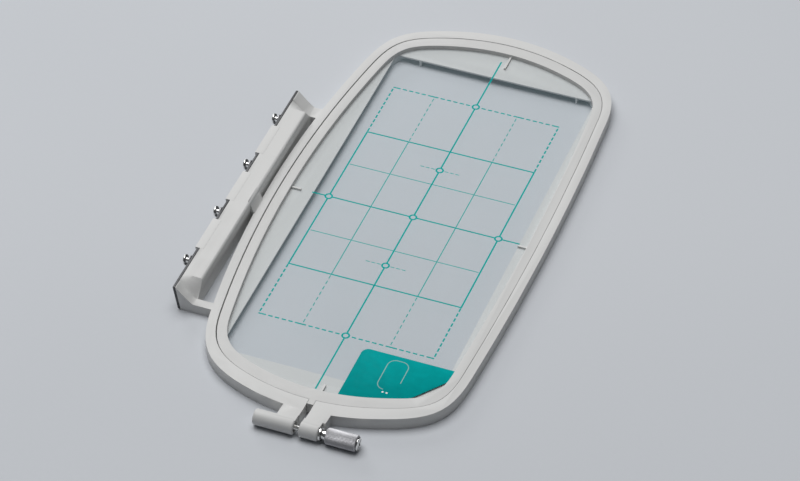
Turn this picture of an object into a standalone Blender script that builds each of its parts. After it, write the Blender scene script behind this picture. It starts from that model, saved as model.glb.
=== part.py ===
"""Embroidery hoop set: outer frame with bracket and clamp, inner frame, marking sheet and clamp screw.

Metres, +Z up, +Y along the hoop. The set stands on z = 0 with the middle of its box on the origin.
Places in this file are measured from the middle of the stitching field.
"""
from math import atan2, cos, pi, radians, sin

import bmesh
import bpy
from mathutils import Vector

# --- Stitching field and parting line between the two frames -------------------------------------
FIELD_HALF_WIDTH = 0.075
STUD_PITCH = 0.0635
SUB_FIELD_HALF_LENGTH = 0.0889
PARTING_CENTRE_Y = 0.0024
PARTING_HALF_LENGTH = 0.2352
PARTING_HALF_WIDTH_LEFT = 0.1168
PARTING_HALF_WIDTH_RIGHT = 0.1090
PARTING_GAP = 0.0007
GAP_GROWTH = (0.00025, -0.00015, 0.0001, -0.0002)
BOW_LEFT = 0.0141
BOW_RIGHT = 0.0048
BOW_END = 0.0091
CORNER_X = 0.0538
CORNER_Y = 0.1694
CORNER_REACH_FAR_RIGHT = 0.448
CORNER_REACH_FAR_LEFT = 0.480
CORNER_REACH_NEAR_LEFT = 0.437
CORNER_REACH_NEAR_RIGHT = 0.495
OUTLINE_STEPS = 12

# --- Frames ---------------------------------------------------------------------------------------
FRAME_HEIGHT = 0.0110
OUTER_LEFT_WIDTH = 0.0077
OUTER_RIGHT_WIDTH = 0.0074
OUTER_FAR_WIDTH = 0.0100
OUTER_NEAR_WIDTH = 0.0126
INNER_LEFT_WIDTH = 0.0087
INNER_RIGHT_WIDTH = 0.0077
INNER_FAR_WIDTH = 0.0114
INNER_NEAR_WIDTH = 0.0118
WEB_TOP = 0.0068
WEB_THICKNESS = 0.0015
WEB_OPENING_X = (-0.0893, 0.0930)
WEB_OPENING_Y = (-0.2000, 0.1962)
GUSSET_X = 0.0270
GUSSET_Y = 0.0350
FOOT_X = (-0.0670, 0.0760)
FOOT_WIDTH = 0.0016
TICK_WIDTH = 0.0016
TICK_TOP = 0.0087
TICK_X = 0.0057
TICK_LEFT_Y = -0.0002
TICK_RIGHT_Y = -0.0028
TICK_FAR_LENGTH = 0.0166
TICK_NEAR_LENGTH = 0.0100
TICK_SIDE_LENGTH = 0.0084
JOINED = 0.0010
CLEARANCE = 0.0003

# --- Marking sheet --------------------------------------------------------------------------------
SHEET_THICKNESS = 0.0008
SHEET_MARGIN = 0.0005
SHEET_BOTTOM = WEB_TOP + CLEARANCE
SHEET_TOP = SHEET_BOTTOM + SHEET_THICKNESS
PRINT_THICKNESS = 0.0002
PRINT_LINE = 0.0008
PATCH_LEFT = 0.0188
PATCH_TOP = -0.1605
PATCH_CORNER_RADIUS = 0.0060
FINGER_CUT_START = (0.0745, -0.2007)
FINGER_CUT_END = (0.0950, -0.1740)
FINGER_CUT_DEPTH = 0.030

# --- Bracket --------------------------------------------------------------------------------------
BRACKET_TOP = 0.0229
BRACKET_NEAR_Y = -0.1635
BRACKET_FAR_Y = 0.1017
BRACKET_INNER_X = -0.1266
STRIP_TOP_X = -0.1452
STRIP_LEAN = 0.0040
STRIP_THICKNESS = 0.0020
STRIP_SET_DOWN = 0.0001
ARM_WIDTH = 0.0077
ARM_TOP = 0.0090
RIB_TOP = 0.0108
RIB_SLOPE = 0.0040
ARM_SLOPE_X = (-0.1424, -0.1278)
ARM_SLOPE_POWER = 1.2
BAR_END_SINK = 0.0003
ARM_STEPS = 10
BAR_ROUND = 0.0022
BAR_END_BLEND = 0.0110
BAR_END_STEPS = 5
RIB_Y = (-0.0450, -0.0260)
FAR_ARM_Y = 0.0890
TAB_LENGTH = 0.0376
TAB_LIP = 0.0020
TAB_THICKNESS = 0.0010
TAB_DROP = 0.0090

# --- Studs on the bracket -------------------------------------------------------------------------
STUD_COUNT = 4
STUD_MIDDLE_Y = -0.0302
STUD_BELOW_TOP = 0.0034
STUD_HEAD_RADIUS = 0.0046
STUD_NECK_RADIUS = 0.0023
STUD_SHANK_RADIUS = 0.0019
STUD_STANDOFF = 0.0068
STUD_DEPTH = 0.0050
COLLAR_RADIUS = 0.0040
COLLAR_THICKNESS = 0.0013

# --- Clamp at the near end ------------------------------------------------------------------------
SCREW_Y = -0.2618
SCREW_Z = 0.0068
BARREL_RADIUS = 0.0066
BARREL_TOP = SCREW_Z + BARREL_RADIUS
BARREL_ROUND = 0.0014
BARREL_LEFT_X = (-0.0335, 0.0004)
BARREL_RIGHT_X = (0.0052, 0.0211)
NECK_LEFT_X = (-0.0160, 0.0020)
NECK_RIGHT_X = (0.0060, 0.0235)
LUG_TOP = FRAME_HEIGHT
LUG_OVERLAP = 0.004
SLOT_X = (0.0007, 0.0067)
SLOT_SHOULDER_Y = -0.2550
SHANK_RADIUS = 0.0025
SHANK_START_X = -0.0300
BORE_RADIUS = 0.0028
INSERT_RADIUS = 0.0040
INSERT_X = (-0.0210, -0.0015)
WASHER_RADIUS = 0.0058
WASHER_X = (0.0214, 0.0232)
SPACER_RADIUS = 0.0040
SPACER_X = (0.0235, 0.0270)
KNOB_RADIUS = 0.0067
KNOB_X = (0.0273, 0.0528)
CAP_RADIUS = 0.0056
CAP_THICKNESS = 0.0012

BAR_BACK_X = STRIP_TOP_X + STRIP_THICKNESS + CLEARANCE
STRIP_ANGLE = atan2(STRIP_LEAN, BRACKET_TOP)
STRIP_OUT = Vector((-cos(STRIP_ANGLE), 0.0, -sin(STRIP_ANGLE)))
STRIP_DOWN = Vector((sin(STRIP_ANGLE), 0.0, -cos(STRIP_ANGLE)))
QUADRANTS = ((1, 1, CORNER_REACH_FAR_RIGHT), (-1, 1, CORNER_REACH_FAR_LEFT),
             (-1, -1, CORNER_REACH_NEAR_LEFT), (1, -1, CORNER_REACH_NEAR_RIGHT))
OUTER_WIDTHS = (OUTER_LEFT_WIDTH, OUTER_RIGHT_WIDTH, OUTER_FAR_WIDTH, OUTER_NEAR_WIDTH)
INNER_WIDTHS = (INNER_LEFT_WIDTH, INNER_RIGHT_WIDTH, INNER_FAR_WIDTH, INNER_NEAR_WIDTH)


def clear_scene():
    """Remove whatever the file holds."""
    for obj in list(bpy.data.objects):
        bpy.data.objects.remove(obj, do_unlink=True)


def new_collection(name):
    """Add a collection to the scene."""
    collection = bpy.data.collections.new(name)
    bpy.context.scene.collection.children.link(collection)
    return collection


clear_scene()
PARTS = new_collection("embroidery_hoop")
CUTTERS = new_collection("cutters")
ASSEMBLY = bpy.data.objects.new("hoop_origin", None)
PARTS.objects.link(ASSEMBLY)


def material(name, colour, roughness, metallic=0.0):
    """A Principled material with one colour."""
    made = bpy.data.materials.new(name)
    made.use_nodes = True
    shader = made.node_tree.nodes["Principled BSDF"]
    shader.inputs["Base Color"].default_value = (*colour, 1.0)
    shader.inputs["Roughness"].default_value = roughness
    shader.inputs["Metallic"].default_value = metallic
    return made


def add_part(name, mesh, colour, roughness, metallic=0.0):
    """Put a mesh in the assembly as a named part with its own material."""
    part = bpy.data.objects.new(name, mesh)
    mesh.materials.clear()
    mesh.materials.append(material(name, colour, roughness, metallic))
    PARTS.objects.link(part)
    part.parent = ASSEMBLY
    return part


def add_tool(name, mesh):
    """Put a mesh in the assembly as a Boolean tool."""
    tool = bpy.data.objects.new(name, mesh)
    CUTTERS.objects.link(tool)
    tool.parent = ASSEMBLY
    tool.hide_render = True
    tool.display_type = "WIRE"
    return tool


def combine(part, tool, operation):
    """Join a tool to a part, or cut it away."""
    boolean = part.modifiers.new(f"{operation.lower()}_{tool.name}", "BOOLEAN")
    boolean.operation = operation
    boolean.object = tool
    boolean.solver = "EXACT"


def bevel_edges(part, width, segments=1):
    """Round the sharp edges of a part."""
    bevel = part.modifiers.new("rounded_edges", "BEVEL")
    bevel.width = width
    bevel.segments = segments
    bevel.limit_method = "ANGLE"
    bevel.angle_limit = radians(50)


# --- Meshes ---------------------------------------------------------------------------------------
def box_mesh(name, low, high):
    """A box between two corners."""
    low, high = Vector(low), Vector(high)
    shape = bmesh.new()
    bmesh.ops.create_cube(shape, size=1.0)
    bmesh.ops.scale(shape, vec=high - low, verts=shape.verts)
    bmesh.ops.translate(shape, vec=(low + high) / 2, verts=shape.verts)
    mesh = bpy.data.meshes.new(name)
    shape.to_mesh(mesh)
    shape.free()
    return mesh


def cylinder_mesh(name, radius, start, end, sides=40, rounding=0.0):
    """A capped cylinder along local Z, with rounded ends if asked."""
    shape = bmesh.new()
    bmesh.ops.create_cone(shape, cap_ends=True, segments=sides, radius1=radius, radius2=radius,
                          depth=end - start)
    bmesh.ops.translate(shape, vec=(0.0, 0.0, (start + end) / 2), verts=shape.verts)
    if rounding:
        rims = [edge for edge in shape.edges if edge.calc_face_angle() > radians(80)]
        bmesh.ops.bevel(shape, geom=rims, offset=rounding, segments=3, profile=0.5, affect="EDGES")
    mesh = bpy.data.meshes.new(name)
    shape.to_mesh(mesh)
    shape.free()
    return mesh


def turned_mesh(name, profile, closed):
    """The profile of a turned piece, from its top end down its outer side."""
    count = len(profile)
    edges = [(index, index + 1) for index in range(count - 1)]
    if closed:
        edges.append((count - 1, 0))
    mesh = bpy.data.meshes.new(name)
    mesh.from_pydata([(radius, 0.0, height) for radius, height in profile], edges, [])
    return mesh


def turn(part, steps=36):
    """Turn a part's profile about its local Z axis."""
    screw = part.modifiers.new("turned", "SCREW")
    screw.axis = "Z"
    screw.steps = steps
    screw.render_steps = steps
    screw.use_merge_vertices = True
    screw.merge_threshold = 0.00001
    screw.use_smooth_shade = True


def flat_mesh(name, outlines, bottom, top):
    """An extruded flat outline: the first outline is the edge and the others are holes."""
    curve = bpy.data.curves.new(name, "CURVE")
    curve.dimensions = "2D"
    curve.fill_mode = "BOTH"
    curve.extrude = (top - bottom) / 2
    curve.resolution_u = OUTLINE_STEPS
    for outline in outlines:
        add_outline(curve, outline)
    holder = bpy.data.objects.new(name, curve)
    CUTTERS.objects.link(holder)
    graph = bpy.context.evaluated_depsgraph_get()
    mesh = bpy.data.meshes.new_from_object(holder.evaluated_get(graph))
    bpy.data.objects.remove(holder, do_unlink=True)
    shape = bmesh.new()
    shape.from_mesh(mesh)
    bmesh.ops.remove_doubles(shape, verts=shape.verts, dist=0.00001)
    bmesh.ops.translate(shape, vec=(0.0, 0.0, (bottom + top) / 2), verts=shape.verts)
    shape.to_mesh(mesh)
    shape.free()
    return mesh


def add_outline(curve, outline):
    """Add a closed outline of knots (point, direction, reach in, reach out) or of plain points."""
    if len(outline[0]) == 2:
        spline = curve.splines.new("POLY")
        spline.points.add(len(outline) - 1)
        for point, place in zip(spline.points, outline):
            point.co = (*place, 0.0, 1.0)
    else:
        spline = curve.splines.new("BEZIER")
        spline.bezier_points.add(len(outline) - 1)
        for knot, (place, direction, reach_in, reach_out) in zip(spline.bezier_points, outline):
            knot.handle_left_type = "FREE"
            knot.handle_right_type = "FREE"
            knot.co = (*place, 0.0)
            knot.handle_left = (*(place - direction * reach_in), 0.0)
            knot.handle_right = (*(place + direction * reach_out), 0.0)
    spline.use_cyclic_u = True


def hoop_outline(offset, widths=(0.0, 0.0, 0.0, 0.0)):
    """Knots of the hoop's outline, anticlockwise from the middle of the right side.

    The outline lies outside the parting line by the offset and the left, right, far and near widths.
    """
    left, right, far, near = [offset + width for width in widths]
    centre = Vector((0.0, PARTING_CENTRE_Y))
    knots = []
    for index, (side_x, side_y, reach) in enumerate(QUADRANTS):
        half_length = PARTING_HALF_LENGTH + (far if side_y > 0 else near)
        if side_x > 0:
            half_width, bow = PARTING_HALF_WIDTH_RIGHT + right, BOW_RIGHT
        else:
            half_width, bow = PARTING_HALF_WIDTH_LEFT + left, BOW_LEFT
        mirror = Vector((side_x, side_y))
        side_end = Vector((half_width - bow, CORNER_Y))
        end_start = Vector((CORNER_X, half_length - BOW_END))
        side_reach = (side_end - Vector((half_width, 0.0))).length / 3
        end_reach = (end_start - Vector((0.0, half_length))).length / 3
        corner_reach = (end_start - side_end).length * reach
        side_way = Vector((-2 * bow / CORNER_Y, 1.0)).normalized()
        end_way = Vector((-1.0, 2 * BOW_END / CORNER_X)).normalized()
        corner = [(centre + side_end * mirror, side_way * mirror, side_reach, corner_reach),
                  (centre + end_start * mirror, end_way * mirror, corner_reach, end_reach)]
        if side_x * side_y < 0:
            corner = [(place, -way, leaving, arriving)
                      for place, way, arriving, leaving in reversed(corner)]
        if index % 2 == 0:
            middle = Vector((side_x * half_width, 0.0)), Vector((0.0, side_y)), side_reach
        else:
            middle = Vector((0.0, side_y * half_length)), Vector((side_x, 0.0)), end_reach
        knots.append((centre + middle[0], middle[1], middle[2], middle[2]))
        knots.extend(corner)
    return knots


def inner_wall(inset):
    """Outline of the inner frame's inner wall, moved inwards by the inset."""
    return hoop_outline(-inset, [-width for width in INNER_WIDTHS])


def rectangle(low_x, high_x, low_y, high_y):
    """Corner points of a rectangle."""
    return [(low_x, low_y), (high_x, low_y), (high_x, high_y), (low_x, high_y)]


def straight_rise(value, start, end):
    """Rise evenly from 0 to 1 as the value goes from start to end."""
    return min(1.0, max(0.0, (value - start) / (end - start)))


def easing(value, start, end):
    """Rise smoothly from 0 to 1 as the value goes from start to end."""
    return 0.5 - 0.5 * cos(pi * straight_rise(value, start, end))


def arm_height(x):
    """Height of an arm's top: a nearly straight slope from the strip, then level to the ring."""
    left = 1.0 - straight_rise(x, *ARM_SLOPE_X)
    return ARM_TOP + (BRACKET_TOP - ARM_TOP) * left ** ARM_SLOPE_POWER


def arm_profile(far_x):
    """Section of an arm from the strip's back to a place under the ring."""
    points = [(BAR_BACK_X + STRIP_LEAN, 0.0), (BAR_BACK_X, BRACKET_TOP)]
    slope_start, slope_end = ARM_SLOPE_X
    for index in range(ARM_STEPS + 1):
        x = slope_start + (slope_end - slope_start) * index / ARM_STEPS
        points.append((x, arm_height(x)))
    return points + [(far_x, ARM_TOP), (far_x, 0.0)]


def rib_profile(far_x):
    """Section of the middle rib, from inside the bar to a place under the ring."""
    start_x = BRACKET_INNER_X - BAR_ROUND
    points = [(start_x, 0.0)]
    for index in range(ARM_STEPS + 1):
        x = start_x + (BAR_ROUND + RIB_SLOPE) * index / ARM_STEPS
        fall = easing(x, start_x, BRACKET_INNER_X + RIB_SLOPE)
        points.append((x, BRACKET_TOP + (RIB_TOP - BRACKET_TOP) * fall))
    return points + [(far_x, RIB_TOP), (far_x, 0.0)]


def bar_section(y):
    """Outline of the bar at one place: its top sinks to the arm's slope near either end."""
    near_end = BRACKET_NEAR_Y + ARM_WIDTH
    raised = straight_rise(y, near_end, near_end + BAR_END_BLEND)
    raised *= straight_rise(-y, -FAR_ARM_Y, BAR_END_BLEND - FAR_ARM_Y)
    points = [(BAR_BACK_X + STRIP_LEAN, 0.0), (BAR_BACK_X, BRACKET_TOP)]
    flat_end = BRACKET_INNER_X - BAR_ROUND
    tops = [(flat_end + (BAR_BACK_X - flat_end) * part_way, BRACKET_TOP)
            for part_way in (0.75, 0.6, 0.45, 0.3, 0.15, 0.0)]
    for step in range(1, 6):
        angle = pi / 2 * step / 5
        tops.append((flat_end + BAR_ROUND * sin(angle), BRACKET_TOP - BAR_ROUND * (1 - cos(angle))))
    for x, height in tops:
        sunk = arm_height(x) - BAR_END_SINK
        points.append((x, sunk + (height - sunk) * raised))
    return points + [(BRACKET_INNER_X, 0.0)]


def bar_mesh():
    """The bar, lofted through its sections from the near arm to the far arm."""
    near, far = BRACKET_NEAR_Y + ARM_WIDTH - JOINED / 2, FAR_ARM_Y + JOINED / 2
    places = [near + BAR_END_BLEND * index / BAR_END_STEPS for index in range(BAR_END_STEPS + 1)]
    places += [far - BAR_END_BLEND * index / BAR_END_STEPS for index in range(BAR_END_STEPS, -1, -1)]
    shape = bmesh.new()
    loops = [[shape.verts.new((x, y, z)) for x, z in bar_section(y)] for y in places]
    for loop, following in zip(loops, loops[1:]):
        for index in range(len(loop)):
            after = (index + 1) % len(loop)
            shape.faces.new((loop[index], following[index], following[after], loop[after]))
    shape.faces.new(loops[0])
    shape.faces.new(reversed(loops[-1]))
    bmesh.ops.recalc_face_normals(shape, faces=shape.faces)
    mesh = bpy.data.meshes.new("bar")
    shape.to_mesh(mesh)
    shape.free()
    return mesh


def section_tool(name, profile, near_y, far_y):
    """A tool made of an XZ section, drawn out along Y."""
    tool = add_tool(name, flat_mesh(name, [profile], -far_y, -near_y))
    tool.rotation_euler = (pi / 2, 0.0, 0.0)
    return tool


# --- Outer frame ----------------------------------------------------------------------------------
def bracket_sections():
    """The bracket's bar and the three arms that join it to the ring."""
    ring_x = -PARTING_HALF_WIDTH_LEFT + BOW_LEFT
    arm_end = ring_x + JOINED
    rib_end = -PARTING_HALF_WIDTH_LEFT + JOINED
    return [add_tool("bar", bar_mesh()),
            section_tool("near_arm", arm_profile(arm_end), BRACKET_NEAR_Y, BRACKET_NEAR_Y + ARM_WIDTH),
            section_tool("middle_rib", rib_profile(rib_end), *RIB_Y),
            section_tool("far_arm", arm_profile(arm_end), FAR_ARM_Y, BRACKET_FAR_Y)]


def strip_place(y, out, down):
    """A point given from the strip's upper outer edge."""
    edge = Vector((STRIP_TOP_X, y, BRACKET_TOP))
    return edge + STRIP_OUT * out + STRIP_DOWN * down


def strip_box(name, y, length, out, down):
    """A box in the strip's slanted frame: out and down are ranges from its upper outer edge."""
    half = length / 2
    tool = add_tool(name, box_mesh(name, (-out[1], -half, -down[1]), (-out[0], half, -down[0])))
    tool.location = strip_place(y, 0.0, 0.0)
    tool.rotation_euler = (0.0, -STRIP_ANGLE, 0.0)
    return tool


def stud_places():
    """Y of each stud."""
    first = STUD_MIDDLE_Y - STUD_PITCH * (STUD_COUNT - 1) / 2
    return [first + STUD_PITCH * index for index in range(STUD_COUNT)]


def tab_tools():
    """Hooked tabs between the studs, over the strip's upper edge."""
    tools = []
    studs = stud_places()
    front_x = STRIP_TOP_X - TAB_LIP * 0.8
    for index, (near, far) in enumerate(zip(studs, studs[1:]), start=1):
        middle, half = (near + far) / 2, TAB_LENGTH / 2
        tools.append(add_tool(f"tab_top_{index}", box_mesh(
            f"tab_top_{index}", (front_x, middle - half, BRACKET_TOP - TAB_THICKNESS),
            (BAR_BACK_X + JOINED * 3, middle + half, BRACKET_TOP))))
        tools.append(strip_box(f"tab_lip_{index}", middle, TAB_LENGTH, (CLEARANCE, TAB_LIP),
                               (0.0, TAB_DROP)))
    return tools


def along_x(name, radius, x_range, sides=40, rounding=0.0):
    """A cylinder tool on the clamp screw's axis."""
    tool = add_tool(name, cylinder_mesh(name, radius, x_range[0], x_range[1], sides, rounding))
    tool.location = (0.0, SCREW_Y, SCREW_Z)
    tool.rotation_euler = (0.0, pi / 2, 0.0)
    return tool


def lug_tool(name, x_range, near_y, far_y):
    """A neck between the ring and a barrel; its top rises from the ring to the barrel's top."""
    ring_y = PARTING_CENTRE_Y - PARTING_HALF_LENGTH - OUTER_NEAR_WIDTH
    rise = (BARREL_TOP - LUG_TOP) / (ring_y - SCREW_Y)
    near_top = BARREL_TOP - rise * (near_y - SCREW_Y) - CLEARANCE / 3
    profile = [(-CLEARANCE, near_y), (-near_top, near_y), (-LUG_TOP, ring_y), (-LUG_TOP, far_y),
               (-CLEARANCE, far_y)]
    tool = add_tool(name, flat_mesh(name, [profile], *x_range))
    tool.rotation_euler = (0.0, pi / 2, 0.0)
    return tool


def clamp_sections():
    """The two lugs, each a neck and a barrel."""
    far_y = PARTING_CENTRE_Y - PARTING_HALF_LENGTH - OUTER_NEAR_WIDTH + LUG_OVERLAP
    root_y = SCREW_Y + BARREL_RADIUS
    return [lug_tool("neck_left", NECK_LEFT_X, SCREW_Y, far_y),
            lug_tool("neck_right", NECK_RIGHT_X, root_y, far_y),
            lug_tool("neck_root_right", (NECK_RIGHT_X[0], BARREL_RIGHT_X[1]), SCREW_Y, far_y),
            along_x("barrel_left", BARREL_RADIUS, BARREL_LEFT_X, rounding=BARREL_ROUND),
            along_x("barrel_right", BARREL_RADIUS, BARREL_RIGHT_X, rounding=BARREL_ROUND)]


def clamp_cuts():
    """The slot between the lugs and the bores for the screw and its insert."""
    slot_far = PARTING_CENTRE_Y - PARTING_HALF_LENGTH + 0.002
    below, above = -JOINED, BARREL_TOP + JOINED
    mouth_near = SCREW_Y - BARREL_RADIUS - JOINED
    return [add_tool("slot", box_mesh("slot", (SLOT_X[0], SLOT_SHOULDER_Y, below),
                                      (SLOT_X[1], slot_far, above))),
            add_tool("slot_mouth", box_mesh("slot_mouth", (BARREL_LEFT_X[1], mouth_near, below),
                                            (BARREL_RIGHT_X[0], SLOT_SHOULDER_Y + JOINED, above))),
            along_x("screw_bore", BORE_RADIUS, (SHANK_START_X - 0.002, BARREL_RIGHT_X[1] + JOINED)),
            along_x("insert_bore", INSERT_RADIUS + CLEARANCE,
                    (INSERT_X[0] - CLEARANCE, BARREL_LEFT_X[1] + JOINED))]


def stud_cuts():
    """A hole for each stud, through the strip and into the bar."""
    tools = []
    for index, y in enumerate(stud_places(), start=1):
        name = f"stud_hole_{index}"
        tool = add_tool(name, cylinder_mesh(name, STUD_SHANK_RADIUS + CLEARANCE,
                                            -STUD_DEPTH - 0.0004, 0.002, 24))
        tool.location = strip_place(y, 0.0, STUD_BELOW_TOP)
        tool.rotation_euler = (0.0, -pi / 2 - STRIP_ANGLE, 0.0)
        tools.append(tool)
    return tools


def outer_frame(stud_holes):
    """Split ring with the bracket on its left side and the clamp lugs at its near end."""
    edge = hoop_outline(PARTING_GAP / 2, OUTER_WIDTHS)
    hole = hoop_outline(PARTING_GAP / 2, GAP_GROWTH)
    ring = flat_mesh("outer_frame", [edge, hole], 0.0, FRAME_HEIGHT)
    frame = add_part("outer_frame", ring, (0.60, 0.60, 0.59), 0.45)
    for tool in bracket_sections() + clamp_sections() + tab_tools():
        combine(frame, tool, "UNION")
    for tool in clamp_cuts() + stud_holes:
        combine(frame, tool, "DIFFERENCE")
    inside = add_tool("ring_inside", flat_mesh("ring_inside", [hole], -0.001, FRAME_HEIGHT + 0.001))
    combine(frame, inside, "DIFFERENCE")
    return frame


# --- Inner frame ----------------------------------------------------------------------------------
def tick_boxes(margin):
    """Low and high corners of the four centre marks, grown by a margin in X and Y."""
    half = TICK_WIDTH / 2 + margin
    far_wall = PARTING_CENTRE_Y + PARTING_HALF_LENGTH - INNER_FAR_WIDTH
    near_wall = PARTING_CENTRE_Y - PARTING_HALF_LENGTH + INNER_NEAR_WIDTH
    left_wall = -PARTING_HALF_WIDTH_LEFT + INNER_LEFT_WIDTH
    right_wall = PARTING_HALF_WIDTH_RIGHT - INNER_RIGHT_WIDTH
    x, y, right_y = TICK_X, TICK_LEFT_Y, TICK_RIGHT_Y
    spans = [(x - half, x + half, far_wall - TICK_FAR_LENGTH - margin, far_wall + JOINED),
             (x - half, x + half, near_wall - JOINED, near_wall + TICK_NEAR_LENGTH + margin),
             (left_wall - JOINED, left_wall + TICK_SIDE_LENGTH + margin, y - half, y + half),
             (right_wall - TICK_SIDE_LENGTH - margin, right_wall + JOINED, right_y - half, right_y + half)]
    base = WEB_TOP - JOINED / 2
    return [((x0, y0, base), (x1, y1, TICK_TOP)) for x0, x1, y0, y1 in spans]


def inner_frame():
    """Ring that presses the fabric into the outer frame, with a web along each side."""
    edge = hoop_outline(-PARTING_GAP / 2, [-growth for growth in GAP_GROWTH])
    hole = inner_wall(0.0)
    frame = add_part("inner_frame", flat_mesh("inner_frame", [edge, hole], 0.0, FRAME_HEIGHT),
                     (0.60, 0.60, 0.59), 0.45)
    rim = inner_wall(-JOINED)
    web = add_tool("web", flat_mesh("web", [rim], WEB_TOP - WEB_THICKNESS, WEB_TOP))
    left, right = WEB_OPENING_X
    near, far = WEB_OPENING_Y
    window = [(left, near), (right - GUSSET_X, near), (right, near + GUSSET_Y), (right, far), (left, far)]
    opening = flat_mesh("web_opening", [window], 0.0, FRAME_HEIGHT)
    combine(web, add_tool("web_opening", opening), "DIFFERENCE")
    combine(frame, web, "UNION")
    for index, (low, high) in enumerate(tick_boxes(0.0), start=1):
        combine(frame, add_tool(f"tick_{index}", box_mesh(f"tick_{index}", low, high)), "UNION")
    for index, x in enumerate(FOOT_X, start=1):
        foot = box_mesh(f"foot_{index}", (x - FOOT_WIDTH / 2, WEB_OPENING_Y[1] - CLEARANCE, 0.0),
                        (x + FOOT_WIDTH / 2, WEB_OPENING_Y[1] + 0.004, WEB_TOP - CLEARANCE))
        combine(frame, add_tool(f"foot_{index}", foot), "UNION")
    near_edge = PARTING_CENTRE_Y - PARTING_HALF_LENGTH + PARTING_GAP / 2
    key = box_mesh("key", (SLOT_X[0] + CLEARANCE, near_edge - 0.0055, 0.0010),
                   (SLOT_X[1] - CLEARANCE, near_edge + 0.003, LUG_TOP))
    combine(frame, add_tool("key", key), "UNION")
    return frame


# --- Marking sheet --------------------------------------------------------------------------------
def finger_cut():
    """Tool that trims the sheet's near right corner."""
    start, end = Vector(FINGER_CUT_START), Vector(FINGER_CUT_END)
    along = end - start
    away = Vector((along.y, -along.x)).normalized() * FINGER_CUT_DEPTH
    start, end = start - along * 0.3, end + along * 0.3
    outline = [tuple(start), tuple(start + away), tuple(end + away), tuple(end)]
    return add_tool("finger_cut", flat_mesh("finger_cut", [outline], 0.0, FRAME_HEIGHT))


def marking_sheet(corner_cut):
    """Clear sheet that lies on the webs, notched round the centre marks."""
    sheet = add_part("marking_sheet", flat_mesh("marking_sheet", [inner_wall(SHEET_MARGIN)],
                                                SHEET_BOTTOM, SHEET_TOP), (0.85, 0.88, 0.92), 0.15)
    for index, (low, high) in enumerate(tick_boxes(0.0005), start=1):
        notch = add_tool(f"tick_notch_{index}", box_mesh(f"tick_notch_{index}", low, high))
        combine(sheet, notch, "DIFFERENCE")
    combine(sheet, corner_cut, "DIFFERENCE")
    return sheet


def printed_field():
    """The print's solid lines: border of the middle field and its two centre lines."""
    half_x, half_y, line = FIELD_HALF_WIDTH, SUB_FIELD_HALF_LENGTH, PRINT_LINE / 2
    outlines = [rectangle(-half_x - line, half_x + line, -half_y - line, half_y + line)]
    for low_x, high_x in ((-half_x, 0.0), (0.0, half_x)):
        for low_y, high_y in ((-half_y, 0.0), (0.0, half_y)):
            outlines.append(rectangle(low_x + line, high_x - line, low_y + line, high_y - line))
    bottom = SHEET_TOP + CLEARANCE
    mesh = flat_mesh("printed_field", outlines, bottom, bottom + PRINT_THICKNESS)
    return add_part("printed_field", mesh, (0.0, 0.37, 0.34), 0.35)


def printed_patch(corner_cut):
    """The print's solid block in the near right corner."""
    bottom = SHEET_TOP + CLEARANCE
    block = flat_mesh("printed_patch", [inner_wall(SHEET_MARGIN)], bottom, bottom + PRINT_THICKNESS)
    patch = add_part("printed_patch", block, (0.0, 0.27, 0.27), 0.3)
    area = [(PATCH_LEFT, -PARTING_HALF_LENGTH), (PARTING_HALF_WIDTH_RIGHT, -PARTING_HALF_LENGTH),
            (PARTING_HALF_WIDTH_RIGHT, PATCH_TOP)]
    centre_x, centre_y = PATCH_LEFT + PATCH_CORNER_RADIUS, PATCH_TOP - PATCH_CORNER_RADIUS
    for angle in range(90, 181, 15):
        area.append((centre_x + PATCH_CORNER_RADIUS * cos(radians(angle)),
                     centre_y + PATCH_CORNER_RADIUS * sin(radians(angle))))
    combine(patch, add_tool("patch_area", flat_mesh("patch_area", [area], 0.0, FRAME_HEIGHT)),
            "INTERSECT")
    combine(patch, corner_cut, "DIFFERENCE")
    return patch


# --- Bracket metalwork ----------------------------------------------------------------------------
def tab_notches():
    """Tools that notch the strip's upper edge where the tabs hook over it."""
    depth = TAB_THICKNESS + CLEARANCE * 2
    length = TAB_LENGTH + CLEARANCE * 2
    studs = stud_places()
    return [strip_box(f"tab_notch_{index}", (near + far) / 2, length, (-0.01, 0.01), (-0.01, depth))
            for index, (near, far) in enumerate(zip(studs, studs[1:]), start=1)]


def mounting_strip(stud_holes):
    """Steel strip on the bracket's outer face."""
    length = BRACKET_FAR_Y - BRACKET_NEAR_Y
    height = BRACKET_TOP / cos(STRIP_ANGLE) - 0.0008
    mesh = box_mesh("mounting_strip", (0.0, -length / 2, -height), (STRIP_THICKNESS, length / 2,
                                                                    -STRIP_SET_DOWN))
    strip = add_part("mounting_strip", mesh, (0.33, 0.34, 0.35), 0.35, 1.0)
    strip.location = strip_place((BRACKET_FAR_Y + BRACKET_NEAR_Y) / 2, 0.0, 0.0)
    strip.rotation_euler = (0.0, -STRIP_ANGLE, 0.0)
    for tool in stud_holes + tab_notches():
        combine(strip, tool, "DIFFERENCE")


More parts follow.
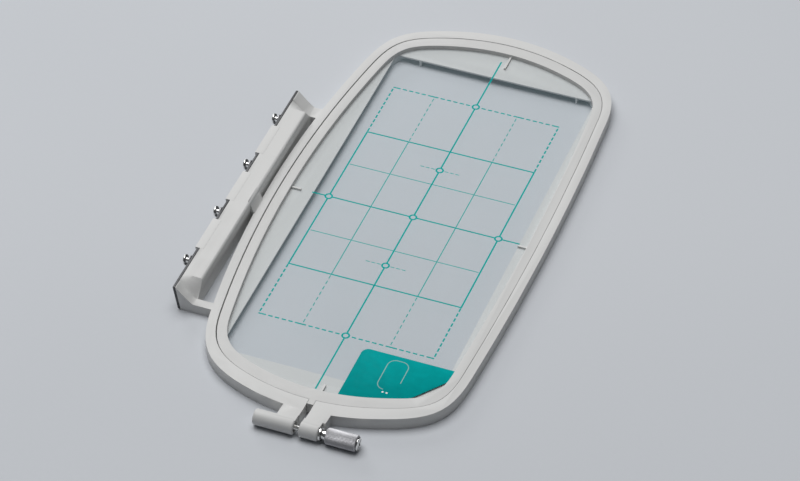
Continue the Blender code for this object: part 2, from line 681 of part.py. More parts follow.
def studs():
    """Mushroom studs that lock into the machine's carriage, each through a collar."""
    head_low = STUD_STANDOFF - 0.0020
    profile = [(0.0, STUD_STANDOFF), (STUD_HEAD_RADIUS - 0.0012, STUD_STANDOFF),
               (STUD_HEAD_RADIUS, STUD_STANDOFF - 0.0009), (STUD_HEAD_RADIUS, head_low),
               (STUD_NECK_RADIUS, head_low - 0.0003), (STUD_NECK_RADIUS, CLEARANCE),
               (STUD_SHANK_RADIUS, CLEARANCE), (STUD_SHANK_RADIUS, -STUD_DEPTH), (0.0, -STUD_DEPTH)]
    inner = STUD_NECK_RADIUS + CLEARANCE
    top = CLEARANCE + COLLAR_THICKNESS
    ring = [(inner, top), (COLLAR_RADIUS, top), (COLLAR_RADIUS, CLEARANCE), (inner, CLEARANCE)]
    for index, y in enumerate(stud_places(), start=1):
        stud_name, collar_name = f"stud_{index}", f"stud_collar_{index}"
        stud = add_part(stud_name, turned_mesh(stud_name, profile, False), (0.75, 0.75, 0.74), 0.15, 1.0)
        collar = add_part(collar_name, turned_mesh(collar_name, ring, True), (0.5, 0.5, 0.5), 0.3, 1.0)
        for piece in (stud, collar):
            turn(piece)
            piece.location = strip_place(y, 0.0, STUD_BELOW_TOP)
            piece.rotation_euler = (0.0, -pi / 2 - STRIP_ANGLE, 0.0)


# --- Clamp screw ----------------------------------------------------------------------------------
def on_screw_axis(part):
    """Lay a part's local Z along the clamp screw's axis."""
    part.location = (0.0, SCREW_Y, SCREW_Z)
    part.rotation_euler = (0.0, pi / 2, 0.0)
    return part


def ring_part(name, inner, outer, x_range, colour, roughness):
    """A turned metal ring on the clamp screw."""
    profile = [(inner, x_range[1]), (outer, x_range[1]), (outer, x_range[0]), (inner, x_range[0])]
    part = add_part(name, turned_mesh(name, profile, True), colour, roughness, 1.0)
    turn(part)
    return on_screw_axis(part)


def clamp_screw():
    """Threaded insert, screw shank, washer, spacer, knob and end cap."""
    ring_part("threaded_insert", BORE_RADIUS, INSERT_RADIUS, INSERT_X, (0.55, 0.45, 0.25), 0.35)
    ring_part("clamp_washer", BORE_RADIUS, WASHER_RADIUS, WASHER_X, (0.75, 0.75, 0.74), 0.15)
    ring_part("clamp_spacer", BORE_RADIUS, SPACER_RADIUS, SPACER_X, (0.4, 0.4, 0.4), 0.25)
    shank_end = KNOB_X[1] - 0.003
    shank = add_part("clamp_shank", cylinder_mesh("clamp_shank", SHANK_RADIUS, SHANK_START_X,
                                                  shank_end, 32), (0.7, 0.7, 0.69), 0.2, 1.0)
    on_screw_axis(shank)
    knob = add_part("clamp_knob", cylinder_mesh("clamp_knob", KNOB_RADIUS, *KNOB_X, 48),
                    (0.55, 0.56, 0.54), 0.4, 0.6)
    on_screw_axis(knob)
    combine(knob, along_x("knob_bore", BORE_RADIUS, (KNOB_X[0] - JOINED, shank_end + CLEARANCE)),
            "DIFFERENCE")
    bevel_edges(knob, 0.0006, 2)
    cap_start = KNOB_X[1] + CLEARANCE
    cap = add_part("knob_cap", cylinder_mesh("knob_cap", CAP_RADIUS, cap_start,
                                             cap_start + CAP_THICKNESS), (0.78, 0.78, 0.77), 0.12, 1.0)
    on_screw_axis(cap)
    bevel_edges(cap, 0.0004, 2)


def centre_on_origin():
    """Move the assembly so that its box stands on the origin."""
    bpy.context.view_layer.update()
    graph = bpy.context.evaluated_depsgraph_get()
    corners = []
    for part in PARTS.objects:
        if part.type == "MESH":
            solid = part.evaluated_get(graph)
            corners += [solid.matrix_world @ vertex.co for vertex in solid.data.vertices]
    low = [min(corner[axis] for corner in corners) for axis in range(3)]
    high = [max(corner[axis] for corner in corners) for axis in range(3)]
    ASSEMBLY.location = (-(low[0] + high[0]) / 2, -(low[1] + high[1]) / 2, -low[2])


def build():
    """Make every part."""
    holes = stud_cuts()
    outer_frame(holes)
    inner_frame()
    corner_cut = finger_cut()
    marking_sheet(corner_cut)
    printed_field()
    printed_patch(corner_cut)
    mounting_strip(holes)
    studs()
    clamp_screw()
    centre_on_origin()


build()
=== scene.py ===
"""Looks of the embroidery hoop set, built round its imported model. Metres, +Z up."""
from math import cos, pi, radians, sin, tau

import bmesh
import bpy
from mathutils import Matrix, Vector


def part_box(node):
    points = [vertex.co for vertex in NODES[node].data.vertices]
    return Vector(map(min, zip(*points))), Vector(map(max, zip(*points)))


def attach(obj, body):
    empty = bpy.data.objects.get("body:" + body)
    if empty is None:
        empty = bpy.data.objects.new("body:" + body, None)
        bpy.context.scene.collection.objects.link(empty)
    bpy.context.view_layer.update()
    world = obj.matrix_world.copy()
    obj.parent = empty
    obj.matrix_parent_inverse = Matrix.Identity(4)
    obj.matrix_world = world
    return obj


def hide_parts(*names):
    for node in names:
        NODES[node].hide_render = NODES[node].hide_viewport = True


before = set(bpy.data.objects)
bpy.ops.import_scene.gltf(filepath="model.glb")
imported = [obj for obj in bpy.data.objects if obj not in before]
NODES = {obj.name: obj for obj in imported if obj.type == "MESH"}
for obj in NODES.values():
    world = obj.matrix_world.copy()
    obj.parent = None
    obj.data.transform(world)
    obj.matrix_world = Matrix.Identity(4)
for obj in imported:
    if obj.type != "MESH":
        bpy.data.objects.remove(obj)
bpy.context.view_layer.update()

# --- Places read from the model ---------------------------------------------------------------
FIELD_LOW, FIELD_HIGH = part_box("printed_field")
FIELD_X = (FIELD_LOW.x + FIELD_HIGH.x) / 2
FIELD_Y = (FIELD_LOW.y + FIELD_HIGH.y) / 2
SHEET_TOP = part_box("marking_sheet")[1].z
STUD_NUMBERS = range(1, 5)

# --- Print on the sheet -----------------------------------------------------------------------
HALF_WIDTH = 0.0750
SUB_HALF_LENGTH = 0.0889
STEP_Y = 0.0635
HALF_LENGTH = SUB_HALF_LENGTH + STEP_Y
THIN_X = HALF_WIDTH / 2
THIN_Y = SUB_HALF_LENGTH / 2
SOLID_WIDTH = 0.00135
THIN_WIDTH = 0.00080
BORDER_DASH, BORDER_PITCH = 0.0039, 0.0060
QUARTER_DASH, QUARTER_PITCH = 0.0038, 0.0066
CROSS_DASH, CROSS_PITCH = 0.0034, 0.0048
CROSS_REACH = 0.0180
CENTRE_LINE_REACH = 0.2175
SIDE_LINE_LEFT, SIDE_LINE_RIGHT = -0.0900, 0.0935
CORNER_MARK = 0.0022
CORNER_GAP = 0.0012
JUNCTION_MARK = 0.0026
CIRCLE_GAP = 0.0006
SHORTEST_RUN = 0.0002
CIRCLE_OUTER = 0.0036
CIRCLE_INNER = 0.0021
INK = 0.00004

# --- Emblem on the patch ----------------------------------------------------------------------
EMBLEM_X, EMBLEM_Y = 0.0520, -0.1825
EMBLEM_HALF_X, EMBLEM_HALF_Y = 0.0090, 0.0175
EMBLEM_CORNER = 0.0070
EMBLEM_LINE = 0.0007
EMBLEM_OPENING = 0.37
DOT_RADIUS = 0.0009
DOTS_X = (-0.0012, 0.0022)
DOTS_BELOW = 0.0026

# --- Metal detail -----------------------------------------------------------------------------
KNOB_FLUTES = 44
KNURL_DEPTH = 0.00035
KNOB_CHAMFER = 0.0006
THREAD_PITCH = 0.0008
THREAD_DEPTH = 0.00035
THREAD_STEPS = 4
SLOT_WIDTH, CROSS_WIDTH = 0.0012, 0.0014
SLOT_ANGLE = 25

# --- Rounding of the model's own edges --------------------------------------------------------
SHARPEST_ROUNDED = 35
FLAT_ANGLE = 0.6
WELD_DISTANCE = 0.000002

# --- Camera and lights ------------------------------------------------------------------------
CAMERA_PLACE = (0.8060, -2.1505, 2.0329)
CAMERA_AIM = (0.0001, -0.0306)
LENS, SENSOR = 166.8, 36.0
TOP_LIGHT = {"location": (-0.85, 0.85, 4.3), "size": (4.3, 4.0), "power": 212.0}
BACK_LIGHT = {"location": (-2.6, 2.6, 1.6), "size": (1.6, 1.2), "power": 27.0}
ROOM_COLOUR = (0.93, 0.96, 1.0, 1.0)
ROOM_STRENGTH = 0.09
FLOOR_HALF = 6.0


def place(x, y, z=0.0):
    """A point given from the middle of the stitching field, on the sheet's top."""
    return Vector((FIELD_X + x, FIELD_Y + y, SHEET_TOP + z))


# --- Materials --------------------------------------------------------------------------------
class Shader:
    """A Principled material whose detail comes from nodes."""

    def __init__(self, name, roughness, metallic=0.0, **constants):
        self.material = bpy.data.materials.new(name)
        self.material.use_nodes = True
        self.tree = self.material.node_tree
        self.surface = self.tree.nodes["Principled BSDF"]
        self.surface.inputs["Roughness"].default_value = roughness
        self.surface.inputs["Metallic"].default_value = metallic
        for socket, value in constants.items():
            self.surface.inputs[socket.replace("_", " ")].default_value = value
        self.place = self.add("ShaderNodeTexCoord").outputs["Object"]

    def add(self, kind, **values):
        """Add a node and set its inputs, by name, to values or links."""
        node = self.tree.nodes.new(kind)
        for name, value in values.items():
            self.feed(node.inputs[name.replace("_", " ")], value)
        return node

    def feed(self, socket, value):
        """Link a socket to an output, or give it a value."""
        if isinstance(value, bpy.types.NodeSocket):
            self.tree.links.new(value, socket)
        else:
            socket.default_value = value

    def stretched(self, scale):
        """Coordinates scaled unevenly."""
        return self.add("ShaderNodeMapping", Vector=self.place, Scale=scale).outputs["Vector"]

    def noise(self, scale, detail=3.0, vector=None):
        """Fractal noise between 0 and 1."""
        node = self.add("ShaderNodeTexNoise", Vector=vector or self.place, Scale=scale, Detail=detail)
        return node.outputs["Fac"]

    def span(self, value, low, high, start=0.35, end=0.65):
        """Carry a value from start..end to low..high."""
        node = self.add("ShaderNodeMapRange", Value=value)
        for index, number in enumerate((start, end, low, high), start=1):
            node.inputs[index].default_value = number
        return node.outputs["Result"]

    def colours(self, value, first, second):
        """Blend two colours by a value."""
        node = self.tree.nodes.new("ShaderNodeMix")
        node.data_type = "RGBA"
        self.feed(node.inputs[0], value)
        self.feed(node.inputs[6], first if isinstance(first, bpy.types.NodeSocket) else (*first, 1.0))
        self.feed(node.inputs[7], (*second, 1.0))
        return node.outputs[2]

    def bump(self, height, distance, strength, normal=None):
        """A bump from a height, on top of another one if given."""
        node = self.add("ShaderNodeBump", Height=height, Strength=strength, Distance=distance)
        if normal:
            self.feed(node.inputs["Normal"], normal)
        return node.outputs["Normal"]

    def finish(self, colour, roughness, normal):
        """Connect the surface's colour, roughness and normal."""
        self.feed(self.surface.inputs["Base Color"], colour)
        self.feed(self.surface.inputs["Roughness"], roughness)
        self.feed(self.surface.inputs["Normal"], normal)
        return self.material


def moulded_plastic(name, tone, darker):
    """Pale grey moulded plastic: fine grain, faint flow marks, edges a little paler."""
    made = Shader(name, 0.5, Specular_IOR_Level=0.45)
    flow = made.noise(9.0, 4.0, made.stretched((1.0, 0.35, 1.0)))
    speck = made.noise(420.0, 2.0)
    colour = made.colours(made.span(flow, 0.0, 1.0), tone, darker)
    colour = made.colours(made.span(speck, 0.0, 0.05), colour, tuple(0.8 * part for part in darker))
    edge = made.add("ShaderNodeNewGeometry").outputs["Pointiness"]
    colour = made.colours(made.span(edge, 0.0, 0.35, 0.52, 0.60), colour,
                          tuple(min(1.0, 1.12 * part) for part in tone))
    roughness = made.span(made.noise(60.0, 3.0), 0.42, 0.56)
    normal = made.bump(made.noise(1500.0, 3.0), 0.00003, 0.3)
    normal = made.bump(made.noise(26.0, 2.0), 0.00012, 0.25, normal)
    return made.finish(colour, roughness, normal)


def ink(name, tone, darker):
    """Screen-printed ink: slightly uneven in tone and gloss."""
    made = Shader(name, 0.6, Specular_IOR_Level=0.03)
    colour = made.colours(made.span(made.noise(120.0, 4.0), 0.0, 1.0), tone, darker)
    roughness = made.span(made.noise(300.0, 2.0), 0.55, 0.70)
    return made.finish(colour, roughness, made.bump(made.noise(2200.0, 2.0), 0.00001, 0.4))


def clear_plastic(name):
    """Clear polyester sheet with faint haze and hair scratches."""
    made = Shader(name, 0.1, Alpha=0.06, IOR=1.5)
    haze = made.noise(14.0, 4.0)
    scratch = made.noise(60.0, 5.0, made.stretched((1.0, 24.0, 1.0)))
    colour = made.colours(made.span(haze, 0.0, 1.0), (0.40, 0.56, 0.62), (0.35, 0.51, 0.57))
    roughness = made.span(scratch, 0.22, 0.32)
    return made.finish(colour, roughness, made.bump(haze, 0.0001, 0.10))


def bright_metal(name, tone, darker, roughness, grain, stretch):
    """Plated metal with fine directional polishing lines and handling marks."""
    made = Shader(name, roughness[0], 1.0)
    lines = made.noise(grain, 4.0, made.stretched(stretch))
    marks = made.noise(90.0, 3.0)
    colour = made.colours(made.span(marks, 0.0, 1.0), tone, darker)
    return made.finish(colour, made.span(lines, *roughness), made.bump(lines, 0.00001, 0.35))


PLASTIC = moulded_plastic("frame_plastic", (0.60, 0.60, 0.592), (0.575, 0.575, 0.568))
SOLID_INK = ink("teal_ink", (0.0, 0.37, 0.35), (0.0, 0.33, 0.31))
THIN_INK = ink("pale_teal_ink", (0.02, 0.38, 0.35), (0.02, 0.35, 0.32))
PATCH_INK = ink("patch_ink", (0.0, 0.325, 0.325), (0.0, 0.295, 0.295))
MARK_INK = ink("mark_ink", (0.32, 0.48, 0.45), (0.25, 0.42, 0.40))
DOT_INK = ink("dot_ink", (0.80, 0.82, 0.82), (0.70, 0.74, 0.74))
CLEAR = clear_plastic("clear_sheet")
CHROME = bright_metal("bright_plate", (0.80, 0.80, 0.79), (0.70, 0.70, 0.69), (0.06, 0.16), 300.0,
                      (1.0, 1.0, 1.0))
SATIN = bright_metal("satin_nickel", (0.50, 0.50, 0.515), (0.45, 0.45, 0.465), (0.52, 0.64), 500.0,
                     (0.15, 1.0, 1.0))
STEEL = bright_metal("rolled_steel", (0.11, 0.112, 0.116), (0.09, 0.092, 0.096), (0.45, 0.60), 400.0,
                     (1.0, 0.04, 1.0))
BRASS = bright_metal("brass", (0.55, 0.42, 0.20), (0.48, 0.36, 0.17), (0.25, 0.40), 300.0,
                     (1.0, 1.0, 1.0))


# --- Mesh helpers -----------------------------------------------------------------------------
def add_piece(name, shape, material, body, replaced=()):
    """Turn a bmesh into a piece that rides on a body."""
    bmesh.ops.recalc_face_normals(shape, faces=shape.faces)
    mesh = bpy.data.meshes.new(name)
    shape.to_mesh(mesh)
    shape.free()
    mesh.materials.append(material)
    piece = bpy.data.objects.new(name, mesh)
    bpy.context.scene.collection.objects.link(piece)
    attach(piece, body)
    if replaced:
        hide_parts(*replaced)
    if body == "sheet":
        piece.visible_shadow = False  # keeps the print's lines from doubling on the floor
    return piece


def smooth(piece, angle):
    """Shade a piece smooth, except at its sharp edges."""
    piece.data.shade_smooth()
    piece.data.set_sharp_from_angle(angle=radians(angle))


def slab(shape, outline, bottom, top):
    """Add a flat closed plate with the given outline."""
    low = [shape.verts.new((point.x, point.y, bottom)) for point in outline]
    high = [shape.verts.new((point.x, point.y, top)) for point in outline]
    shape.faces.new(high)
    shape.faces.new(reversed(low))
    for index in range(len(outline)):
        after = (index + 1) % len(outline)
        shape.faces.new((low[index], low[after], high[after], high[index]))


def stroke(shape, start, end, width, layer):
    """Add a printed stroke between two points of the sheet."""
    start, end = place(*start), place(*end)
    side = (end - start).normalized().cross(Vector((0.0, 0.0, 1.0))) * width / 2
    slab(shape, [start + side, end + side, end - side, start - side], SHEET_TOP + INK / 2,
         SHEET_TOP + INK * layer)


def dashes(shape, start, end, width, layer, pitch=BORDER_PITCH, dash=BORDER_DASH):
    """Add a dashed stroke that starts and ends on half a gap."""
    start, end = Vector(start), Vector(end)
    count = round((end - start).length / pitch)
    step = (end - start) / count
    reach = step * (dash / pitch) / 2
    for index in range(count):
        middle = start + step * (index + 0.5)
        stroke(shape, middle - reach, middle + reach, width, layer)


def ring(shape, centre, inner, outer, bottom, top, steps=48):
    """Add a flat closed ring."""
    corners = [(inner, bottom), (outer, bottom), (outer, top), (inner, top)]
    loops = []
    for index in range(steps):
        angle = tau * index / steps
        loops.append([shape.verts.new((centre.x + radius * cos(angle), centre.y + radius * sin(angle),
                                       height)) for radius, height in corners])
    for index, loop in enumerate(loops):
        after = loops[(index + 1) % steps]
        for corner in range(4):
            other = (corner + 1) % 4
            shape.faces.new((loop[corner], loop[other], after[other], after[corner]))


def spun(sections, sides, radius_at=None):
    """A closed body turned round local Z from (radius, height) sections, ends capped."""
    shape = bmesh.new()
    loops = []
    for radius, height in sections:
        loop = []
        for index in range(sides):
            angle = tau * index / sides
            reach = radius_at(radius, height, angle) if radius_at else radius
            loop.append(shape.verts.new((reach * cos(angle), reach * sin(angle), height)))
        loops.append(loop)
    for lower, upper in zip(loops, loops[1:]):
        for index in range(sides):
            after = (index + 1) % sides
            shape.faces.new((lower[index], lower[after], upper[after], upper[index]))
    shape.faces.new(reversed(loops[0]))
    shape.faces.new(loops[-1])
    return shape


def cut_boxes(shape, sizes, centre):
    """Cut boxes, all round one centre, out of a bmesh and return the result."""
    mesh = bpy.data.meshes.new("cut")
    shape.to_mesh(mesh)
    shape.free()
    body = bpy.data.objects.new("cut", mesh)
    bpy.context.scene.collection.objects.link(body)
    tools = []
    for size in sizes:
        tool_shape = bmesh.new()
        bmesh.ops.create_cube(tool_shape, size=1.0)
        bmesh.ops.scale(tool_shape, vec=size, verts=tool_shape.verts)
        bmesh.ops.translate(tool_shape, vec=centre, verts=tool_shape.verts)
        tool_mesh = bpy.data.meshes.new("tool")
        tool_shape.to_mesh(tool_mesh)
        tool_shape.free()
        tool = bpy.data.objects.new("tool", tool_mesh)
        bpy.context.scene.collection.objects.link(tool)
        tools.append(tool)
        boolean = body.modifiers.new("cut", "BOOLEAN")
        boolean.object = tool
    graph = bpy.context.evaluated_depsgraph_get()
    result = bmesh.new()
    result.from_mesh(body.evaluated_get(graph).to_mesh())
    for holder in (body, *tools):
        bpy.data.objects.remove(holder, do_unlink=True)
    return result


def soften(piece, width, segments):
    """Round a piece's sharp edges and keep its flats flat."""
    bevel = piece.modifiers.new("rounded", "BEVEL")
    bevel.width = width
    bevel.segments = segments
    bevel.limit_method = "ANGLE"
    bevel.angle_limit = radians(SHARPEST_ROUNDED)
    bevel.harden_normals = True
    piece.data.shade_smooth()


def soften_node(name, width, segments, material):
    """Merge a CAD node's triangles into flats, round its edges and give it its finish."""
    node = NODES[name]
    weld = node.modifiers.new("weld", "WELD")
    weld.merge_threshold = WELD_DISTANCE
    flats = node.modifiers.new("flats", "DECIMATE")
    flats.decimate_type = "DISSOLVE"
    flats.angle_limit = radians(FLAT_ANGLE)
    soften(node, width, segments)
    node.data.materials.clear()
    node.data.materials.append(material)


# --- Frames, sheet and small clamp pieces -----------------------------------------------------
def finish_model_pieces():
    """Round the edges of the model's own pieces, apart from the studs, and give their finish."""
    soften_node("outer_frame", 0.0004, 3, PLASTIC)
    soften_node("inner_frame", 0.0004, 3, PLASTIC)
    soften_node("marking_sheet", 0.00015, 2, CLEAR)
    soften_node("mounting_strip", 0.0003, 2, STEEL)
    soften_node("printed_patch", 0.00003, 1, PATCH_INK)
    soften_node("threaded_insert", 0.0003, 2, BRASS)
    soften_node("clamp_washer", 0.0004, 3, CHROME)
    soften_node("clamp_spacer", 0.0003, 3, CHROME)


# --- Print ------------------------------------------------------------------------------------
def runs_between(low, high, stops):
    """Stretches of a line from low to high that keep out of the circles at the stops."""
    reach = (CIRCLE_OUTER + CIRCLE_INNER) / 2
    edges = [low]
    for stop in sorted(stops):
        edges += [stop - reach, stop + reach]
    edges.append(high)
    return [(start, end) for start, end in zip(edges[::2], edges[1::2]) if end - start > SHORTEST_RUN]


def solid_lines():
    """Border of the middle field and the two long centre lines."""
    shape = bmesh.new()
    for x in (-HALF_WIDTH, HALF_WIDTH):
        for start, end in runs_between(-SUB_HALF_LENGTH, SUB_HALF_LENGTH, (0.0,)):
            stroke(shape, (x, start), (x, end), SOLID_WIDTH, 1.0)
    stops = (-HALF_LENGTH, -STEP_Y, 0.0, STEP_Y, HALF_LENGTH)
    for start, end in runs_between(-CENTRE_LINE_REACH, CENTRE_LINE_REACH, stops):
        stroke(shape, (0.0, start), (0.0, end), SOLID_WIDTH, 1.0)
    half = HALF_WIDTH + SOLID_WIDTH / 2
    for y in (-SUB_HALF_LENGTH, SUB_HALF_LENGTH):
        stroke(shape, (-half, y), (half, y), SOLID_WIDTH, 1.2)
    for start, end in runs_between(SIDE_LINE_LEFT, SIDE_LINE_RIGHT, (-HALF_WIDTH, 0.0, HALF_WIDTH)):
        stroke(shape, (start, 0.0), (end, 0.0), SOLID_WIDTH, 1.2)
    return add_piece("print_solid_lines", shape, SOLID_INK, "sheet", ("printed_field",))


def dashed_border():
    """Dashed border of the two end rows, with corner and junction marks."""
    shape = bmesh.new()
    reach = CIRCLE_OUTER + CIRCLE_GAP
    for side in (-1, 1):
        y = side * HALF_LENGTH
        for x in (-HALF_WIDTH, HALF_WIDTH):
            dashes(shape, (x, side * SUB_HALF_LENGTH), (x, y - side * CORNER_GAP), SOLID_WIDTH, 1.1)
            inwards = -CORNER_MARK if x > 0 else CORNER_MARK
            stroke(shape, (x - inwards * 0.2, y), (x + inwards, y), SOLID_WIDTH, 1.5)
            dashes(shape, (x + inwards * 0.6, y), (reach if x > 0 else -reach, y), SOLID_WIDTH, 1.1)
        for x in (-THIN_X, THIN_X):
            stroke(shape, (x - JUNCTION_MARK, y), (x + JUNCTION_MARK, y), SOLID_WIDTH, 1.4)
    return add_piece("print_dashed_border", shape, SOLID_INK, "sheet")


def thin_lines():
    """Thin quarter lines, dashed in the end rows, and the short cross lines at two circles."""
    shape = bmesh.new()
    inner = HALF_WIDTH - SOLID_WIDTH
    for y in (-THIN_Y, THIN_Y):
        stroke(shape, (-inner, y), (inner, y), THIN_WIDTH, 0.9)
    for x in (-THIN_X, THIN_X):
        stroke(shape, (x, -SUB_HALF_LENGTH), (x, SUB_HALF_LENGTH), THIN_WIDTH, 0.8)
        for side in (-1, 1):
            dashes(shape, (x, side * SUB_HALF_LENGTH), (x, side * (HALF_LENGTH - 0.0010)), THIN_WIDTH,
                   0.8, QUARTER_PITCH, QUARTER_DASH)
    for side in (-1, 1):
        y = side * STEP_Y
        for way in (-1, 1):
            dashes(shape, (way * CIRCLE_OUTER, y), (way * CROSS_REACH, y), THIN_WIDTH, 1.0, CROSS_PITCH,
                   CROSS_DASH)
    return add_piece("print_thin_lines", shape, THIN_INK, "sheet")


def circles():
    """Open circles where the needle centres and the side marks are."""
    shape = bmesh.new()
    spots = [(0.0, y) for y in (-HALF_LENGTH, -STEP_Y, 0.0, STEP_Y, HALF_LENGTH)]
    spots += [(-HALF_WIDTH, 0.0), (HALF_WIDTH, 0.0)]
    for x, y in spots:
        ring(shape, place(x, y), CIRCLE_INNER, CIRCLE_OUTER, SHEET_TOP + INK / 2, SHEET_TOP + INK * 1.8)
    return add_piece("print_circles", shape, SOLID_INK, "sheet")


def emblem():
    """Plain open outline with round corners, and two dots, on the solid patch."""
    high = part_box("printed_patch")[1]
    centre = place(EMBLEM_X, EMBLEM_Y)
    corner_x, corner_y = EMBLEM_HALF_X - EMBLEM_CORNER, EMBLEM_HALF_Y - EMBLEM_CORNER
    bottom, top = high.z - INK / 2, high.z + INK
    outer, inner = [], []
    for offset, points in ((0.0, outer), (EMBLEM_LINE, inner)):
        points.append(centre + Vector((EMBLEM_HALF_X - offset, -EMBLEM_HALF_Y * EMBLEM_OPENING, 0.0)))
        for index, (side_x, side_y) in enumerate(((1, 1), (-1, 1), (-1, -1))):
            middle = centre + Vector((side_x * corner_x, side_y * corner_y, 0.0))
            for step in range(9):
                angle = pi / 2 * (index + step / 8)
                points.append(middle + Vector((cos(angle), sin(angle), 0.0)) * (EMBLEM_CORNER - offset))
    shape = bmesh.new()
    for index in range(len(outer) - 1):
        after = index + 1
        slab(shape, [outer[index], outer[after], inner[after], inner[index]], bottom, top)
    add_piece("patch_outline", shape, MARK_INK, "sheet")
    shape = bmesh.new()
    for x in DOTS_X:
        spot = centre + Vector((x, -EMBLEM_HALF_Y - DOTS_BELOW, 0.0))
        slab(shape, [spot + Vector((cos(tau * step / 16), sin(tau * step / 16), 0.0)) * DOT_RADIUS
                     for step in range(16)], bottom, top)
    add_piece("patch_dots", shape, DOT_INK, "sheet")


# --- Clamp screw ------------------------------------------------------------------------------
def axis_place(node):
    """Middle of a node that lies on the screw's axis, and its length."""
    low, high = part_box(node)
    return (low + high) / 2, high.x - low.x


def lay_along_x(shape, centre):
    """Turn a body from local Z to X and carry it to its place."""
    bmesh.ops.transform(shape, matrix=Matrix.Translation(centre) @ Matrix.Rotation(pi / 2, 4, "Y"),
                        verts=shape.verts)


def knurled_knob():
    """Knob with straight knurling between two plain chamfered ends."""
    centre, length = axis_place("clamp_knob")
    radius = (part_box("clamp_knob")[1].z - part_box("clamp_knob")[0].z) / 2
    half = length / 2

    def knurl(reach, height, angle):
        plain = abs(height) > half - KNOB_CHAMFER * 1.6
        wave = 0.5 - 0.5 * cos(KNOB_FLUTES * angle)
        return reach if plain else reach - KNURL_DEPTH * wave ** 0.7

    sections = [(radius - 0.0022, -half + 0.0003), (radius - 0.0014, -half),
                (radius - KNOB_CHAMFER, -half), (radius - 0.0001, -half + KNOB_CHAMFER),
                (radius, -half + KNOB_CHAMFER * 1.7), (radius, half - KNOB_CHAMFER * 1.7),
                (radius - 0.0001, half - KNOB_CHAMFER), (radius - KNOB_CHAMFER, half),
                (radius - 0.0010, half), (radius - 0.0014, half - 0.0004)]
    shape = spun(sections, KNOB_FLUTES * 6, knurl)
    lay_along_x(shape, centre)
    knob = add_piece("knurled_knob", shape, SATIN, "screw", ("clamp_knob",))
    smooth(knob, 40)


def slotted_cap():
    """End disc of the knob with a chamfered rim, a slot and a shorter cross slot."""
    centre, length = axis_place("knob_cap")
    radius = (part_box("knob_cap")[1].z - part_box("knob_cap")[0].z) / 2
    half = length / 2
    sections = [(radius - 0.0003, -half), (radius, -half + 0.0003), (radius, half - 0.0006),
                (radius - 0.0002, half - 0.0003), (radius - 0.0006, half - 0.0001),
                (radius - 0.0012, half)]
    shape = spun(sections, 64)
    depth = length * 0.9
    shape = cut_boxes(shape, [(SLOT_WIDTH, radius * 3, depth), (radius, CROSS_WIDTH, depth)],
                      (0.0, 0.0, half))
    bmesh.ops.transform(shape, matrix=Matrix.Rotation(radians(SLOT_ANGLE), 4, "Z"), verts=shape.verts)
    lay_along_x(shape, centre)
    cap = add_piece("slotted_cap", shape, CHROME, "screw", ("knob_cap",))
    smooth(cap, 30)


def threaded_shank():
    """Clamp screw's shank with its thread cut along the whole length."""
    centre, length = axis_place("clamp_shank")
    radius = (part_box("clamp_shank")[1].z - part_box("clamp_shank")[0].z) / 2
    half = length / 2
    count = round(length / THREAD_PITCH * THREAD_STEPS)

    def thread(reach, height, angle):
        turn = (height / THREAD_PITCH - angle / tau) % 1.0
        return reach - THREAD_DEPTH * abs(2.0 * turn - 1.0)

    sections = [(radius, -half + length * index / count) for index in range(count + 1)]
    shape = spun(sections, 24, thread)
    lay_along_x(shape, centre)
    shank = add_piece("threaded_shank", shape, CHROME, "screw", ("clamp_shank",))
    smooth(shank, 60)


# --- Studs ------------------------------------------------------------------------------------
def lock_studs():
    """Round the edges of the four studs and their collars, and give their metal."""
    for number in STUD_NUMBERS:
        soften_node(f"stud_{number}", 0.0004, 3, CHROME)
        soften_node(f"stud_collar_{number}", 0.0003, 2, SATIN)


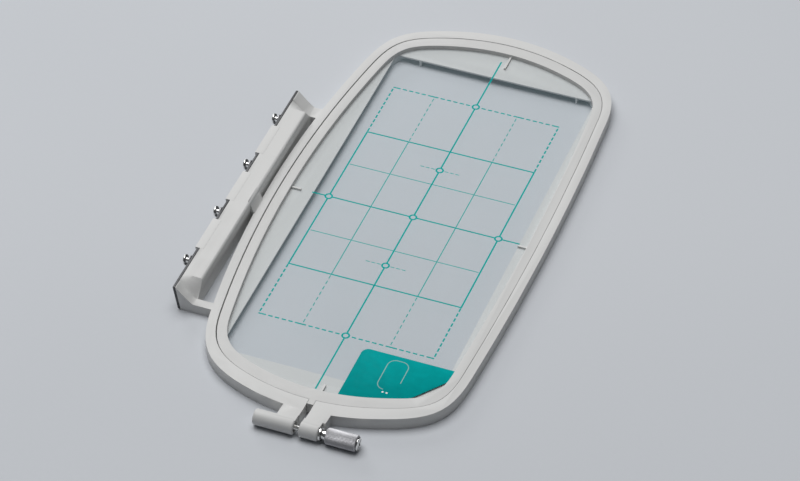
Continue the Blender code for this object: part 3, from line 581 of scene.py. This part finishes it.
# --- Stage, light and camera ------------------------------------------------------------------
def floor():
    """Plain pale floor."""
    shape = bmesh.new()
    bmesh.ops.create_grid(shape, x_segments=1, y_segments=1, size=FLOOR_HALF)
    mesh = bpy.data.meshes.new("floor")
    shape.to_mesh(mesh)
    shape.free()
    made = Shader("floor_paper", 0.7, Specular_IOR_Level=0.2)
    tone = made.span(made.noise(1.2, 2.0), 0.0, 1.0)
    colour = made.colours(tone, (0.55, 0.57, 0.60), (0.53, 0.55, 0.58))
    mesh.materials.append(made.finish(colour, made.span(made.noise(300.0), 0.65, 0.8),
                                      made.bump(made.noise(900.0, 2.0), 0.00002, 0.2)))
    plane = bpy.data.objects.new("floor", mesh)
    bpy.context.scene.collection.objects.link(plane)


def softbox(name, location, size, power):
    """A rectangular soft light aimed at the origin."""
    light = bpy.data.lights.new(name, "AREA")
    light.shape = "RECTANGLE"
    light.size, light.size_y = size
    light.energy = power
    holder = bpy.data.objects.new(name, light)
    bpy.context.scene.collection.objects.link(holder)
    holder.location = location
    holder.rotation_euler = (-Vector(location)).to_track_quat("-Z", "Y").to_euler()


def light():
    """Large soft light overhead, small low one from the far left, dim room."""
    softbox("top", **TOP_LIGHT)
    softbox("back", **BACK_LIGHT)
    world = bpy.data.worlds.new("studio")
    world.use_nodes = True
    background = world.node_tree.nodes["Background"]
    background.inputs["Color"].default_value = ROOM_COLOUR
    background.inputs["Strength"].default_value = ROOM_STRENGTH
    bpy.context.scene.world = world
    bpy.context.scene.view_settings.view_transform = "Standard"


def camera():
    """Long lens, above and to the near right of the hoop."""
    lens = bpy.data.cameras.new("camera")
    lens.lens = LENS
    lens.sensor_width = SENSOR
    holder = bpy.data.objects.new("camera", lens)
    bpy.context.scene.collection.objects.link(holder)
    holder.location = place(*CAMERA_PLACE)
    aim = place(*CAMERA_AIM)
    holder.rotation_euler = (aim - holder.location).to_track_quat("-Z", "Y").to_euler()
    lens.clip_start, lens.clip_end = 0.1, 50.0
    bpy.context.scene.camera = holder


camera()
light()
floor()
finish_model_pieces()
solid_lines()
dashed_border()
thin_lines()
circles()
emblem()
knurled_knob()
slotted_cap()
threaded_shank()
lock_studs()
